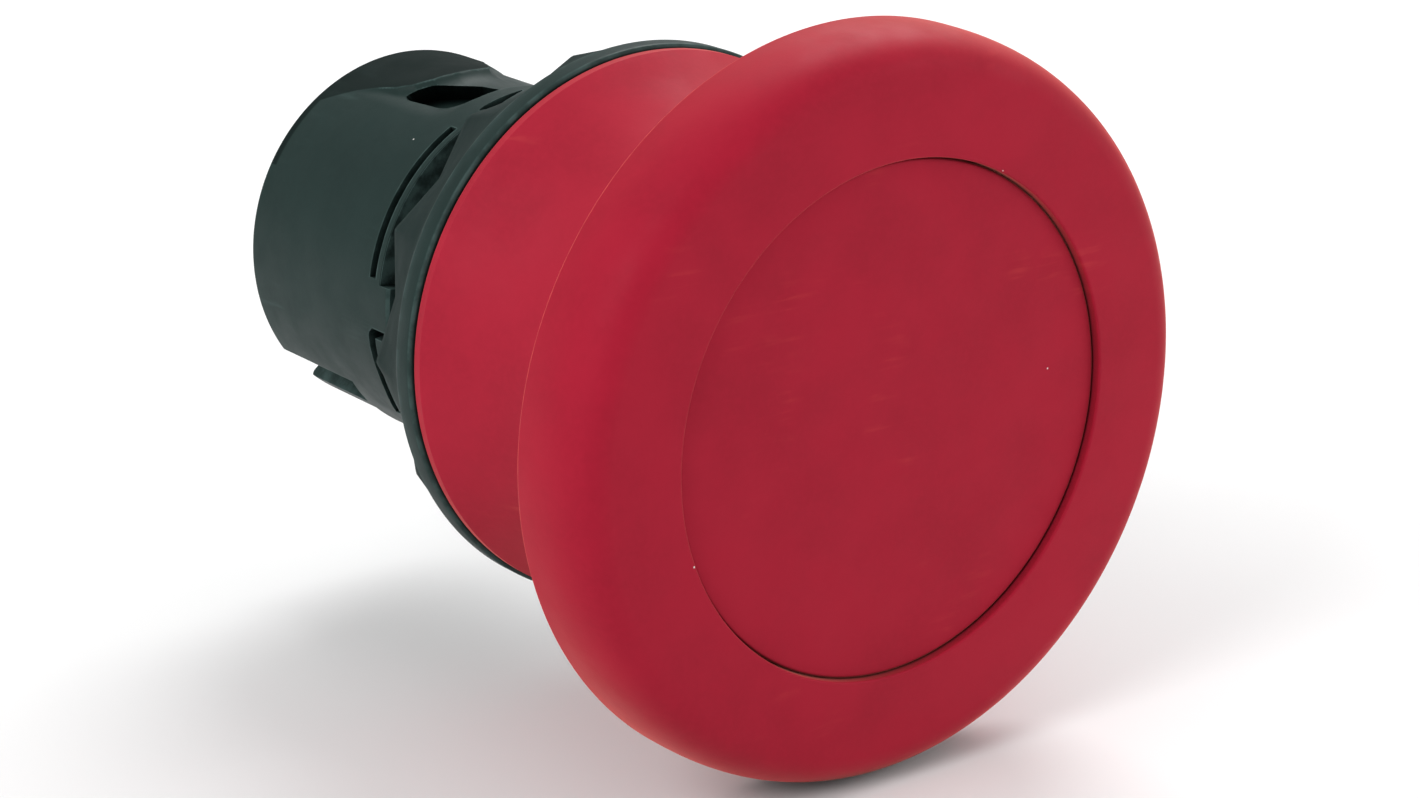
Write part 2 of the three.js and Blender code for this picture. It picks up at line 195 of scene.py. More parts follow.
def lathe(name, outline, segments=160, reshape=None, start=0.0):
    """Turns an outline about the button's axis. reshape(radius, depth, angle) may move a radius."""
    on_axis = outline[0][0] == 0
    verts = []
    for radius, depth in outline:
        for k in range(segments):
            angle = start + 2 * math.pi * k / segments
            moved = reshape(radius, depth, angle) if reshape else radius
            verts.append(ring_point(moved, depth, angle))
    return as_object(name, verts, bands(len(outline), segments, closed=not on_axis))


def turned(name, corners, segments=160):
    return lathe(name, rounded(corners), segments)


def washer(name, inner, outer, front, rear, fillet=0.08, segments=96):
    corners = [(inner, front), (outer, front), (outer, rear), (inner, rear)]
    return turned(name, [(*corner, fillet) for corner in corners], segments)


def swept(name, points, radius, sides=14):
    """A round wire along a list of points in metres, with rounded ends."""
    points = [Vector(p) for p in points]
    verts = []
    across = (points[1] - points[0]).orthogonal().normalized()
    rings = []
    for i, point in enumerate(points):
        way = (points[min(i + 1, len(points) - 1)] - points[max(i - 1, 0)]).normalized()
        across = (across - way * across.dot(way)).normalized()
        rings.append((point, way, across.copy(), radius))
    bulge = 0.35 * radius * MM
    first, first_way, first_side, _ = rings[0]
    last, last_way, last_side, _ = rings[-1]
    rings.insert(0, (first + first_way * -bulge, first_way, first_side, radius * 0.6))
    rings.append((last + last_way * bulge, last_way, last_side, radius * 0.6))
    for point, way, side, size in rings:
        other = way.cross(side)
        for k in range(sides):
            turn = 2 * math.pi * k / sides
            verts.append(point + (side * math.cos(turn) + other * math.sin(turn)) * size * MM)
    faces = bands(len(rings), sides) + end_caps(len(rings), sides)
    return as_object(name, verts, faces, math.radians(60))


def smooth(value, start, end):
    """Rises from 0 at start to 1 at end, with a soft foot and top."""
    t = np.clip((value - start) / (end - start), 0, 1)
    return t * t * (3 - 2 * t)


def roughen_and_paint_shade(thing, share):
    """Marks how much rougher and darker, as painted shade, each point is. share(radius, angle in degrees,
    depth) gives 0 to 1.5.
    """
    rough_painted_shade = thing.data.attributes.new("rough_painted_shade", "FLOAT", "POINT").data
    for vert in thing.data.vertices:
        x, y, z = (value / MM for value in vert.co)
        angle = math.degrees(math.atan2(-x, z))
        rough_painted_shade[vert.index].value = float(share(math.hypot(x, z), angle, y - FACE_Y))


def clear_rubbed_and_highlit(thing, radius):
    """Takes the rubbed edges and painted edge highlights off everything nearer to the axis than a radius.
    """
    rubbed_and_highlit = thing.data.attributes["rubbed_and_highlit"].data
    for vert in thing.data.vertices:
        if math.hypot(vert.co.x, vert.co.z) < radius * MM:
            rubbed_and_highlit[vert.index].value = 0.0


def cut(thing, cutter):
    """Cuts one object out of another and deletes the cutter."""
    modifier = thing.modifiers.new("cut", "BOOLEAN")
    modifier.operation = "DIFFERENCE"
    modifier.solver = "EXACT"
    modifier.object = cutter
    graph = bpy.context.evaluated_depsgraph_get()
    mesh = bpy.data.meshes.new_from_object(thing.evaluated_get(graph))
    thing.modifiers.clear()
    thing.data = mesh
    bpy.data.objects.remove(cutter)
    shade(mesh)


def strip_mesh(inner, outer, lean, angles, fronts, rears):
    """Points and faces of a block that follows the barrel round, with a front and rear at each angle.
    lean turns its inner side by some degrees and moves it back by some millimetres."""
    verts = []
    turn, shift = lean
    for angle, front, rear in zip(angles, fronts, rears):
        outer_angle, inner_angle = math.radians(angle), math.radians(angle + turn)
        verts.append(ring_point(inner, front + shift, inner_angle))
        verts.append(ring_point(outer, front, outer_angle))
        verts.append(ring_point(outer, rear, outer_angle))
        verts.append(ring_point(inner, rear + shift, inner_angle))
    return verts, bands(len(angles), 4) + end_caps(len(angles), 4)


def cutter(strips):
    """One object from several separate strips, each (inner, outer, lean, [(angle, front, rear), ...])."""
    verts, faces = [], []
    for inner, outer, lean, stations in strips:
        known = sorted(stations)
        angles = np.arange(known[0][0], known[-1][0], 1.0).tolist() + [known[-1][0]]
        angles = sorted(set(angles) | {station[0] for station in known})
        fronts = np.interp(angles, [k[0] for k in known], [k[1] for k in known])
        rears = np.interp(angles, [k[0] for k in known], [k[2] for k in known])
        more_verts, more_faces = strip_mesh(inner, outer, lean, angles, fronts, rears)
        faces += [tuple(len(verts) + corner for corner in face) for face in more_faces]
        verts += more_verts
    return as_object("cutter", verts, faces)


# ------------------------------------------------------------------ materials

class Nodes:
    """A short way to lay out a material's nodes."""

    def __init__(self, name):
        self.material = bpy.data.materials.new(name)
        self.material.use_nodes = True
        self.tree = self.material.node_tree
        self.surface = self.tree.nodes["Principled BSDF"]
        self.place = self.add("ShaderNodeTexCoord").outputs["Object"]

    def add(self, kind, **settings):
        node = self.tree.nodes.new(kind)
        for key, value in settings.items():
            setattr(node, key, value)
        return node

    def link(self, source, target):
        self.tree.links.new(source, target)

    def noise(self, size, detail=4.0, roughness=0.55, seed=0.0):
        """Noise whose blobs are about size millimetres across."""
        shift = self.add("ShaderNodeVectorMath", operation="ADD")
        shift.inputs[1].default_value = (seed, seed * 0.7, -seed)
        self.link(self.place, shift.inputs[0])
        node = self.add("ShaderNodeTexNoise")
        node.inputs["Scale"].default_value = 1 / (size * MM)
        node.inputs["Detail"].default_value = detail
        node.inputs["Roughness"].default_value = roughness
        self.link(shift.outputs[0], node.inputs["Vector"])
        return node.outputs["Fac"]

    def remap(self, value, start, end, low_out=0.0, high_out=1.0):
        node = self.add("ShaderNodeMapRange", interpolation_type="SMOOTHSTEP")
        for socket, number in zip(node.inputs[1:5], (start, end, low_out, high_out)):
            socket.default_value = number
        self.link(value, node.inputs[0])
        return node.outputs[0]

    def mix(self, factor, first, second):
        """Blends two colours. Either may be a colour or another node's output."""
        node = self.add("ShaderNodeMix", data_type="RGBA")
        self.link(factor, node.inputs[0])
        for socket, colour in ((node.inputs[6], first), (node.inputs[7], second)):
            if isinstance(colour, tuple):
                socket.default_value = (*colour, 1)
            else:
                self.link(colour, socket)
        return node.outputs[2]

    def specks(self, spacing, share, radius):
        """Sparse dots: 1 on a dot, 0 elsewhere. share is the part of the cells that hold one."""
        node = self.add("ShaderNodeTexVoronoi")
        node.inputs["Scale"].default_value = 1 / (spacing * MM)
        self.link(self.place, node.inputs["Vector"])
        near = self.remap(node.outputs["Distance"], radius * 0.6, radius, 1, 0)
        split = self.add("ShaderNodeSeparateColor")
        self.link(node.outputs["Color"], split.inputs[0])
        chosen = self.remap(split.outputs[0], 1 - share, 1 - share + 0.001)
        return self.times(near, chosen)

    def rubbed_and_highlit_edges(self, start=1.5, end=6.0):
        """1 on edges that bend tightly, broken up by noise: a mask for rubbed edges and painted edge
        highlights.
        """
        rubbed_and_highlit = self.add("ShaderNodeAttribute", attribute_name="rubbed_and_highlit")
        bend = self.remap(rubbed_and_highlit.outputs["Fac"], start, end)
        patches = self.remap(self.noise(0.9, 4.0, seed=5.9), 0.35, 0.65, 0.25, 1.0)
        return self.times(bend, patches)

    def times(self, first, second):
        node = self.add("ShaderNodeMath", operation="MULTIPLY")
        self.link(first, node.inputs[0])
        self.link(second, node.inputs[1])
        return node.outputs[0]

    def plus(self, value, factor, rest):
        """A value times a factor, plus the rest."""
        node = self.add("ShaderNodeMath", operation="MULTIPLY_ADD")
        node.inputs[1].default_value = factor
        self.link(value, node.inputs[0])
        self.link(rest, node.inputs[2])
        return node.outputs[0]

    def scuffs(self):
        """Faint rubbed streaks in a few patches."""
        stretch = self.add("ShaderNodeVectorMath", operation="MULTIPLY")
        stretch.inputs[1].default_value = (0.12, 0.12, 1.0)
        self.link(self.place, stretch.inputs[0])
        streaks = self.add("ShaderNodeTexNoise")
        streaks.inputs["Scale"].default_value = 2600
        streaks.inputs["Detail"].default_value = 3
        self.link(stretch.outputs[0], streaks.inputs["Vector"])
        lines = self.remap(streaks.outputs["Fac"], 0.5, 0.75)
        patches = self.remap(self.noise(7.0, 3.0, seed=11.3), 0.56, 0.7, 0, 0.3)
        return self.times(lines, patches)

    def painted_recess_shade(self, reach):
        """Painted shade: 1 deep inside gaps and holes narrower than reach, in millimetres."""
        shelter = self.add("ShaderNodeAmbientOcclusion", samples=6)
        shelter.inputs["Distance"].default_value = reach * MM
        return self.remap(shelter.outputs["AO"], 0.2, 0.66, 0.94, 0.0)

    def bump(self, layers):
        """Stacks (height, millimetres) layers of bump."""
        normal = None
        for height, millimetres in layers:
            node = self.add("ShaderNodeBump")
            node.inputs["Distance"].default_value = millimetres * MM
            node.inputs["Strength"].default_value = 1.0
            self.link(height, node.inputs["Height"])
            if normal:
                self.link(normal, node.inputs["Normal"])
            normal = node.outputs["Normal"]
        self.link(normal, self.surface.inputs["Normal"])


def scaled(colour, factor):
    return tuple(min(1.0, channel * factor) for channel in colour)


def moulded(name, colour, rubbed_and_highlit_colour, roughness, gloss, sheen=0.0, dust=0.02, recess=2.0):
    """Satin moulded plastic: mottled colour, spark-eroded grain, scuffs, rubbed edges with painted edge
    highlights, dust, and painted shade in gaps narrower than recess. Where the mesh attribute read below
    is above 0 it is rougher and painted darker, as painted shade."""
    n = Nodes(name)
    cloudy = n.noise(5.0, 3.0, seed=1.3)
    fine = n.noise(0.35, 2.0, seed=4.1)
    rough_painted_shade = n.add("ShaderNodeAttribute", attribute_name="rough_painted_shade").outputs["Fac"]
    base = n.mix(n.remap(cloudy, 0.3, 0.7), scaled(colour, 0.93), scaled(colour, 1.06))
    base = n.mix(n.remap(fine, 0.35, 0.75, 0, 0.35), base, scaled(colour, 1.12))
    base = n.mix(n.scuffs(), base, rubbed_and_highlit_colour)
    # Painted shade: much darker where the rough-and-shaded mesh attribute is high.
    base = n.mix(n.remap(rough_painted_shade, 0, 1.5, 0, 0.98), base, scaled(colour, 0.25))
    # Edges lighter: partly real rubbing, partly a painted edge highlight.
    base = n.mix(n.rubbed_and_highlit_edges(), base, rubbed_and_highlit_colour)
    # Painted shade: darkens gaps and holes narrower than recess.
    base = n.mix(n.painted_recess_shade(recess), base, scaled(colour, 0.12))
    base = n.mix(n.specks(1.3, dust, 0.07), base, (0.75, 0.72, 0.7))
    n.link(base, n.surface.inputs["Base Color"])
    uneven = n.remap(n.noise(2.2, 5.0, seed=7.7), 0.3, 0.7, roughness - 0.05, roughness + 0.06)
    n.link(n.plus(rough_painted_shade, 0.4, uneven), n.surface.inputs["Roughness"])
    n.surface.inputs["Specular IOR Level"].default_value = gloss
    n.surface.inputs["Sheen Weight"].default_value = sheen
    n.surface.inputs["Sheen Roughness"].default_value = 0.4
    n.surface.inputs["Sheen Tint"].default_value = (1.0, 0.28, 0.22, 1)
    n.bump([(n.noise(0.12, 3.0, seed=2.9), 0.004), (n.noise(1.8, 2.0, seed=9.2), 0.008)])
    return n.material


def metal(name, colour, roughness, streak=0.3):
    """Bright metal with drawing or turning marks and slight tarnish."""
    n = Nodes(name)
    n.surface.inputs["Metallic"].default_value = 1.0
    tarnish = n.noise(1.5, 5.0, seed=3.3)
    base = n.mix(n.remap(tarnish, 0.35, 0.7), scaled(colour, 1.05), scaled(colour, 0.72))
    # Edges brighter: partly rubbed metal, partly a painted edge highlight.
    base = n.mix(n.rubbed_and_highlit_edges(), base, scaled(colour, 1.35))
    n.link(base, n.surface.inputs["Base Color"])
    n.link(n.remap(n.noise(0.5, 4.0, seed=5.5), 0.3, 0.7, roughness - 0.08, roughness + 0.1),
           n.surface.inputs["Roughness"])
    n.bump([(n.noise(streak, 3.0, seed=6.1), 0.003)])
    return n.material


def elastomer(name, colour):
    """Matt rubber with bloom and a fine skin."""
    n = Nodes(name)
    bloom = n.noise(1.2, 5.0, seed=8.4)
    base = n.mix(n.remap(bloom, 0.45, 0.75), colour, scaled(colour, 2.2))
    # Edges lighter: partly rubbed rubber, partly a painted edge highlight.
    base = n.mix(n.rubbed_and_highlit_edges(), base, scaled(colour, 2.8))
    n.link(base, n.surface.inputs["Base Color"])
    n.link(n.remap(bloom, 0.3, 0.7, 0.62, 0.82), n.surface.inputs["Roughness"])
    n.bump([(n.noise(0.1, 3.0, seed=2.2), 0.004)])
    return n.material


RED = moulded(
    "red_plastic", (0.335, 0.0095, 0.028), (0.56, 0.055, 0.055),
    roughness=0.55, gloss=0.06, sheen=0.52, dust=0.035,
)
# A lighter, more orange copy of the head's red: painted light for the extra light the skirt catches.
LIT_SKIRT_RED = moulded(
    "skirt_red_painted_light", (0.365, 0.016, 0.036), (0.58, 0.08, 0.07),
    roughness=0.55, gloss=0.06, sheen=0.52, dust=0.035,
)
BLACK = moulded(
    "black_plastic", (0.0165, 0.0315, 0.029), (0.05, 0.085, 0.08),
    roughness=0.44, gloss=0.07, recess=4.5,
)
GREY = moulded("grey_plastic", (0.22, 0.23, 0.24), (0.34, 0.35, 0.36), roughness=0.45, gloss=0.4)
STEEL = metal("zinc_steel", (0.55, 0.56, 0.57), 0.32)
WIRE = metal("spring_wire", (0.40, 0.40, 0.41), 0.28, 0.2)
BRASS = metal("turned_brass", (0.55, 0.39, 0.17), 0.3)
RUBBER = elastomer("seal_rubber", (0.014, 0.014, 0.015))


def stands_for(thing, node, body, material):
    """Gives a finished piece its material and its body, and hides the CAD node that it stands for."""
    thing.data.materials.clear()
    thing.data.materials.append(material)
    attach(thing, body)
    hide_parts(node)


# --------------------------------------------------------------- moving pieces

def mushroom():
    """The head: flat annulus, soft shoulder, crisp rim, dished underside and hollow neck."""
    recess = DISC_RADIUS + 0.07
    power = 2 / SHOULDER_FULLNESS
    shoulder = []
    steps = 22
    for k in range(1, steps):
        turn = math.pi / 2 * k / steps
        across = (HEAD_RADIUS - FACE_FLAT_RADIUS) * math.sin(turn) ** power
        back = 1 - math.cos(turn) ** power
        shoulder.append((FACE_FLAT_RADIUS + across, RIM_DEPTH * back))
    shoulder_rest, screw_seat, ring_floor, ledge = 12.0, 5.2, 6.4, 1.6
    ring_clear = DISC_RING[1] + 0.3
    corners = [
        (recess, 0, 0.12),
        *shoulder,
        (HEAD_RADIUS, RIM_DEPTH),
        (HEAD_RADIUS, RIM_DEPTH + 0.3, 0.15),
        (19.2, RIM_DEPTH + 0.85, 0.5),
        (13.2, 8.0, 3.0),
        (NECK_RADIUS, 8.9, 1.0),
        (NECK_RADIUS, NECK_END, 0.3),
        (NECK_BORE, NECK_END, 0.2),
        (NECK_BORE, WEB_DEPTH, 0.6),
        (BOSS_RADIUS, WEB_DEPTH, 0.4),
        (BOSS_RADIUS, shoulder_rest, 0.2),
        (4.2, shoulder_rest, 0.15),
        (4.2, 9.0, 0.2),
        (1.75, 9.0),
        (1.75, screw_seat, 0.2),
        (3.6, screw_seat, 0.2),
        (3.6, 2.1, 0.2),
        (5.5, 2.1, 0.3),
        (5.5, ring_floor, 0.5),
        (ring_clear, ring_floor, 0.5),
        (ring_clear, ledge, 0.2),
        (recess, ledge, 0.1),
    ]
    shell = turned("mushroom_shell", corners, 288)
    clear_rubbed_and_highlit(shell, recess + 1)
    return shell


def face_inlay():
    """The inlaid disc, very slightly crowned, with its snap ring behind."""
    corners = [
        (0, DISC_SUNK - 0.06),
        (6, DISC_SUNK - 0.045, 3),
        (DISC_RADIUS, DISC_SUNK, 0.16),
        (DISC_RADIUS, DISC_BACK, 0.1),
        (DISC_RING[1], DISC_BACK, 0.1),
        (DISC_RING[1], DISC_BACK + 1.5, 0.3),
        (DISC_RING[0], DISC_BACK + 1.5, 0.3),
        (DISC_RING[0], DISC_BACK, 0.2),
        (0, DISC_BACK),
    ]
    inlay = turned("face_inlay", corners, 288)
    clear_rubbed_and_highlit(inlay, DISC_RADIUS + 1)
    return inlay


def head_screw():
    """Pan-head screw with a cross recess and a rolled thread."""
    pitch, root, crest = 0.7, 1.12, 1.42
    shank = []
    depth = 4.4
    while depth < 15.0:
        shank += [(crest, depth), (crest, depth + 0.08), (root, depth + 0.39), (root, depth + 0.47)]
        depth += pitch
    corners = [
        (0, 2.25), (1.9, 2.3, 1.0), (2.9, 2.9, 0.3), (2.9, 4.0, 0.1), (1.45, 4.0, 0.1),
        *shank, (0.8, 15.8, 0.2), (0, 15.9),
    ]
    screw = turned("head_screw_part", corners, 72)
    half_width, front, rear = 11, 2.0, 3.1
    for turn in (0, 90, 180, 270):
        arm = [(turn - half_width, front, rear), (turn + half_width, front, rear)]
        cut(screw, cutter([(0.25, 1.7, (0, 0), arm)]))
    return screw


def lock_washer():
    """Split spring washer with a small lift at the split."""
    return split_ring("lock_washer_part", 1.8, 3.15, 4.35, 4.85, 8, 90, lift=0.12)


def split_ring(name, inner, outer, front, rear, gap, middle, lift=0.0, steps=120, ears=0.0):
    """A flat open ring with bevelled edges. lift offsets its ends; ears widens them inward."""
    bevel = 0.08
    square = [(inner, front, bevel), (outer, front, bevel), (outer, rear, bevel), (inner, rear, bevel)]
    corners = rounded(square, 3)
    start, sweep = math.radians(middle + gap / 2), math.radians(360 - gap)
    verts = []
    size = len(corners)
    for k in range(steps + 1):
        t = k / steps
        rise = lift * (t - 0.5)
        near_end = max(0.0, 1 - min(t, 1 - t) * 14)
        for radius, depth in corners:
            inward = ears * near_end if radius < (inner + outer) / 2 else 0
            verts.append(ring_point(radius - inward, depth + rise, start + sweep * t))
    return as_object(name, verts, bands(steps + 1, size) + end_caps(steps + 1, size))


def plunger_stem():
    """The stem, with its o-ring groove, two cross holes and clip groove."""
    corners = [
        (0, 17.4), (1.75, 17.0, 0.2), (1.75, 9.3, 0.15), (4.0, 9.3, 0.25), (4.0, 10.4, 0.08),
        (3.1, 10.4, 0.15), (3.1, 11.6, 0.15), (4.0, 11.6, 0.08), (4.0, 12.3, 0.1),
        (STEM_RADIUS, 12.3, 0.2), (STEM_RADIUS, 40.3, 0.25), (2.4, 40.3, 0.2), (2.4, 42.55, 0.08),
        (1.8, 42.55, 0.1), (1.8, 43.55, 0.1), (2.4, 43.55, 0.08), (2.4, 44.1, 0.4), (0, 44.1),
    ]
    stem = turned("plunger_stem_part", corners, 96)
    for side in (-1, 1):
        cut(stem, cross_hole(side))
    return stem


def cross_hole(side):
    """A round cutter along X, from near the axis outwards."""
    sides, verts = 40, []
    radius, floor, outside = PIN_RADIUS + 0.1, 0.4, 6.0
    for reach in (floor, outside):
        for k in range(sides):
            turn = 2 * math.pi * k / sides
            across, up = radius * math.cos(turn), radius * math.sin(turn)
            verts.append((side * reach * MM, (FACE_Y + PIN_DEPTH + across) * MM, up * MM))
    return as_object("cutter", verts, bands(2, sides) + end_caps(2, sides))


def along_x(name, outline, side, segments=48):
    """Turns an outline of (radius, distance from the button's axis) about the latch pins' line."""
    verts = []
    for radius, distance in outline:
        for k in range(segments):
            turn = 2 * math.pi * k / segments
            across, up = radius * math.cos(turn), radius * math.sin(turn)
            verts.append((side * distance * MM, (FACE_Y + PIN_DEPTH + across) * MM, up * MM))
    return as_object(name, verts, bands(len(outline), segments))


def latch_pin(name, side):
    """A round-nosed pin with a chamfered tail."""
    tail, nose, radius, chamfer = 3.0, 4.8, PIN_RADIUS, 0.15
    outline = [(0, tail), (radius - chamfer, tail), (radius, tail + chamfer), (radius, nose)]
    steps = 12
    for k in range(1, steps + 1):
        turn = math.pi / 2 * k / steps
        outline.append((radius * math.cos(turn) if k < steps else 0, nose + radius * math.sin(turn)))
    return along_x(name, outline, side)


def latch_spring(name, side):
    """A small coil along the latch pins' line."""
    points = []
    turns, per_turn, start, end, radius, wire = 5, 24, 0.82, 2.6, 0.75, 0.16
    for k in range(turns * per_turn + 1):
        t = k / (turns * per_turn)
        turn = 2 * math.pi * turns * t
        distance = start + (end - start) * t
        across, up = radius * math.cos(turn), radius * math.sin(turn)
        points.append((side * distance * MM, (FACE_Y + PIN_DEPTH + across) * MM, up * MM))
    return swept(name, points, wire, 10)


def pusher_foot():
    """The foot: guided tube, stop flange and pressing ring."""
    return turned("pusher_foot_part", [
        (4.9, 35.8, 0.15), (5.9, 35.8, 0.3), (5.9, 41.4, 0.2), (7.5, 41.4, 0.15), (7.5, 42.8, 0.2),
        (6.9, 43.1, 0.2), (6.9, 44.9, 0.3), (5.0, 44.9, 0.3), (5.0, 42.4, 0.3), (2.7, 42.4, 0.1),
        (2.7, 40.6, 0.1), (4.9, 40.6, 0.2),
    ], 144)


# ---------------------------------------------------------------- fixed pieces

def skirt():
    """The red skirt: concave flare, small bead at the rear rim and a spigot into the bezel."""
    rear_radius, front_radius, steps = 15.33, 12.5, 22
    rear = BEZEL_FRONT - 0.05
    bead_front = rear - 0.75
    flare = []
    for k in range(steps + 1):
        t = k / steps
        radius = front_radius + (rear_radius - front_radius) * t ** 1.5
        flare.append((radius, COLLAR_FRONT + 0.25 + (bead_front - COLLAR_FRONT - 0.25) * t))
    corners = [
        (11.6, COLLAR_FRONT, 0.25), (front_radius - 0.1, COLLAR_FRONT, 0.2), *flare,
        (rear_radius + 0.06, bead_front + 0.1, 0.06), (rear_radius + 0.06, rear, 0.2),
        (13.5, rear, 0.1), (13.5, 22.3, 0.1), (12.3, 22.3, 0.1), (12.3, 19.4, 1.0), (11.6, 17, 1.0),
    ]
    shell = turned("skirt_shell", corners, 256)
    clear_rubbed_and_highlit(shell, BEZEL_RADIUS)
    return shell


def crown_edge(angle):
    """Radius of the crown's rear edge: straight flanks between ridges and valleys."""
    half = math.pi / TEETH
    total, samples, spread = 0.0, 5, math.radians(0.8)
    for k in range(samples):
        near = angle + spread * (k / (samples - 1) - 0.5)
        turn = abs((near + half) % (2 * half) - half)
        chord = RIDGE_RADIUS * math.sin(turn) + VALLEY_RADIUS * math.sin(half - turn)
        total += RIDGE_RADIUS * VALLEY_RADIUS * math.sin(half) / chord
    return total / samples


def bezel():
    """The bezel ring, narrowing behind to the twelve-tooth crown."""
    edge, rows, bevel = BEZEL_EDGE, 10, 0.12
    length = PANEL - bevel - edge
    crown = [(20 + k / rows, edge + length * k / rows) for k in range(1, rows + 1)]
    crown.append((21.5, PANEL))
    ring = [(13.7, BEZEL_FRONT, 0.1), (BEZEL_RADIUS, BEZEL_FRONT, 0.22), (BEZEL_RADIUS, edge - 0.12)]
    outline = [
        *rounded(ring)[:-1],
        (BEZEL_RADIUS, edge - 0.12), (BEZEL_RADIUS - 0.03, edge - 0.03), (BEZEL_RADIUS - 0.1, edge + 0.02),
        *crown,
        (12.6, PANEL), (12.6, 25.9), (11.4, 25.9), (11.4, PANEL), (10.3, PANEL), (10.2, PANEL - 0.1),
        (10.2, 22.5), (11.5, 22.5), (11.5, BEZEL_FRONT), (12.1, BEZEL_FRONT), (12.1, 22.6), (13.7, 22.6),
    ]
    start = math.radians(FIRST_TOOTH)

    def reshape(radius, depth, angle):
        """A radius above 20 stands for a share of the way down the crown."""
        if radius < 20:
            return radius
        share = min(radius - 20, 1.0)
        back = bevel if radius > 21.2 else 0.0
        front = BEZEL_RADIUS - 0.12
        return front + (crown_edge(angle - start) - front) * share - back

    crowned = lathe("bezel_crown", outline, TEETH * 36, reshape, start)
    # The crown's facets are rougher and painted darker, as painted shade.
    roughen_and_paint_shade(crowned, lambda radius, angle, depth: 0.6 * smooth(depth, edge + 0.05, edge + 0.5))
    return crowned


def crease(angle):
    """Depth of the curved line on top of the barrel, between the scoop and the dome behind it."""
    off_middle = [0, 8, 14, 17.5, 20.4, 24, 32]
    depths = [39.6, 39.7, 40.2, 41.0, 42.3, 43.5, 45.5]
    return np.interp(np.abs(angle - CREASE_MIDDLE), off_middle, depths)


def barrel_rough_painted_shade(radius, angle, depth):
    """The barrel's top behind the crease is rougher and painted darker. Its neck and low front edges get
    more of it, as painted shade in the deep gap behind the bezel.
    """
    if depth < 33 and radius < TUBE_RADIUS + 0.25:
        return 1.5
    if depth < FLANK_STEP_REAR + 0.05 and FLANK_STEP[0] < abs(angle) < FLANK_STEP[1] - 0.1:
        return 1.5
    if radius < BARREL_RADIUS - 0.6 or abs(angle) > 60:
        return 0.0
    return smooth(depth, crease(angle) - 0.05, crease(angle) + 0.15)


def barrel_relief(angle, depth):
    """How deep the barrel's surface is sunk at an angle in degrees and a depth in millimetres."""
    bevel, rounding, panel_drop, scoop_drop = 0.15, 0.28, 0.15, 0.68
    sunk = bevel * (1 - smooth(depth, BARREL_FRONT, BARREL_FRONT + bevel))
    round_end = np.clip((depth - (BARREL_END - rounding)) / rounding, 0, 1)
    sunk = np.maximum(sunk, rounding * (1 - np.sqrt(1 - round_end ** 2)))
    panel = smooth(np.abs(angle), KEY_SLOT[1] - 1, KEY_SLOT[1])
    sunk = sunk + panel_drop * panel * smooth(depth, KEY_SLOT_FRONT, KEY_SLOT_FRONT + 0.2)
    ahead = np.clip(crease(angle) - depth, 0, 10)
    scoop = scoop_drop * (1 - np.exp(-ahead / 0.65)) * smooth(depth, 34.5, 36.8)
    scoop = scoop * (1 - smooth(angle, 15, 29))
    scoop = scoop * (0.4 + 0.6 * smooth(angle, -34, -8)) * smooth(angle, -75, -30)
    return np.maximum(sunk, scoop)


def flank_cuts():
    """The (floor radius, stations) of a flank's front step, latch groove, latch hook and key slot."""
    latch_floor = BARREL_RADIUS - 1.2
    behind = BARREL_END + 1
    step_start, step_end = FLANK_STEP
    step = [(step_start, 30.0, FLANK_STEP_REAR), (step_end, 30.0, FLANK_STEP_REAR)]
    groove = [(step_start, 32.7, 33.3), (80.4, 32.7, 33.3)]
    hook = [
        (96, 31.0, 33.1), (97.5, 31.0, 33.45), (99, 31.0, 33.6), (99.05, 32.9, 33.6), (103, 33.0, 33.7),
        (112, 33.2, 33.8), (118, 33.4, 34.0), (124, 33.8, 34.4), (131, 34.4, 35.0),
    ]
    key = [(KEY_SLOT[0], KEY_SLOT_FRONT - 0.3, behind), (KEY_SLOT[1], KEY_SLOT_FRONT + 0.3, behind)]
    return [
        (TUBE_RADIUS + 0.03, step),
        (latch_floor, groove),
        (latch_floor, hook),
        (BARREL_BORE - 1.4, key),
    ]


def barrel_cuts():
    """One cutter for both flanks and for the lens-shaped hole and slit on top.
    Stations are (angle, front, rear), in degrees and millimetres."""
    outside, upright, leaning = BARREL_RADIUS + 1, (0, 0), (-5, 1.0)
    lens = [
        (-1.5, 36.4, 36.7), (1, 35.3, 37.6), (4, 34.75, 38.0), (7, 34.65, 38.4), (13, 34.6, 39.3),
        (17.3, 34.7, 39.65), (19.6, 35.05, 39.8), (20.8, 35.7, 39.85), (22.1, 36.7, 39.8),
        (23.3, 38.9, 39.4),
    ]
    slit = [(0, 33.6, 33.75), (5, 33.05, 33.5), (12, 32.5, 33.3), (16, 32.6, 33.2), (18, 32.95, 33.05)]
    strips = [
        (BARREL_RADIUS - 1.6, BARREL_RADIUS + 0.02, leaning, lens),
        (BARREL_RADIUS - 0.9, outside, upright, slit),
    ]
    for side in (1, -1):
        for floor, stations in flank_cuts():
            mirrored = [(side * angle, front, rear) for angle, front, rear in stations]
            strips.append((floor, outside, upright, mirrored))
    return cutter(strips)


def barrel_inside():
    """The outline from the barrel's rear edge through its bore to the neck and the body's front."""
    groove_front, groove_rear = RING_GROOVE
    corners = [
        (BARREL_RADIUS, BARREL_END - 1),
        (BARREL_BORE, BARREL_END, 0.2),
        (BARREL_BORE, groove_rear),
        (RING_GROOVE_RADIUS, groove_rear),
        (RING_GROOVE_RADIUS, groove_front),
        (BARREL_BORE, groove_front),
        (BARREL_BORE, BORE_STEP),
        (FRONT_BORE, BORE_STEP),
        (FRONT_BORE, TUBE_FRONT, 0.2),
        (TUBE_RADIUS, TUBE_FRONT, 0.25),
        (TUBE_RADIUS, BARREL_FRONT, 0.25),
    ]
    return rounded(corners)[1:]


